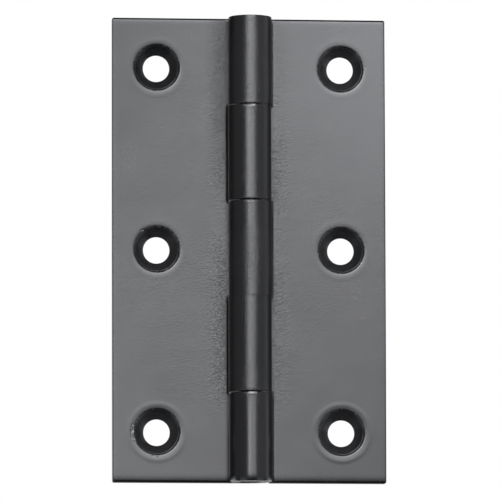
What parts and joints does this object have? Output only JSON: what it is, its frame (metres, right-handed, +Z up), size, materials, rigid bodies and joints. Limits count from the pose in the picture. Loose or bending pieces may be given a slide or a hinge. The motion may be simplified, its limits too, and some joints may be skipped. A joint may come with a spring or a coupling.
{
  "type": "door hinge",
  "caption": "Flat butt hinge in dark coated sheet steel, with rolled knuckles on a plain peened pin and countersunk screw holes in both leaves.",
  "frame": {"origin": "middle of the pin's axis, which is also the middle of the open hinge", "axes": "+Z up along the pin, -Y out of the faces that the screws go in from, +Y out of the backs of both leaves, -X towards the three-knuckle leaf"},
  "size_m": [0.06, 0.0094, 0.102],
  "materials": {
    "coated_steel": "satin dark grey coating",
    "pin_steel": "satin dark grey coating over peened steel ends"
  },
  "bodies": {
    "three_knuckle_leaf": {"three_knuckle_leaf": "coated_steel", "pin": "pin_steel"},
    "two_knuckle_leaf": {"two_knuckle_leaf": "coated_steel"}
  },
  "joints": [
    {"name": "leaf_swing", "type": "hinge", "parent": "three_knuckle_leaf", "child": "two_knuckle_leaf", "pos_m": [0, 0, 0], "axis": [0, 0, 1], "range_deg": [-189, 82]}
  ]
}
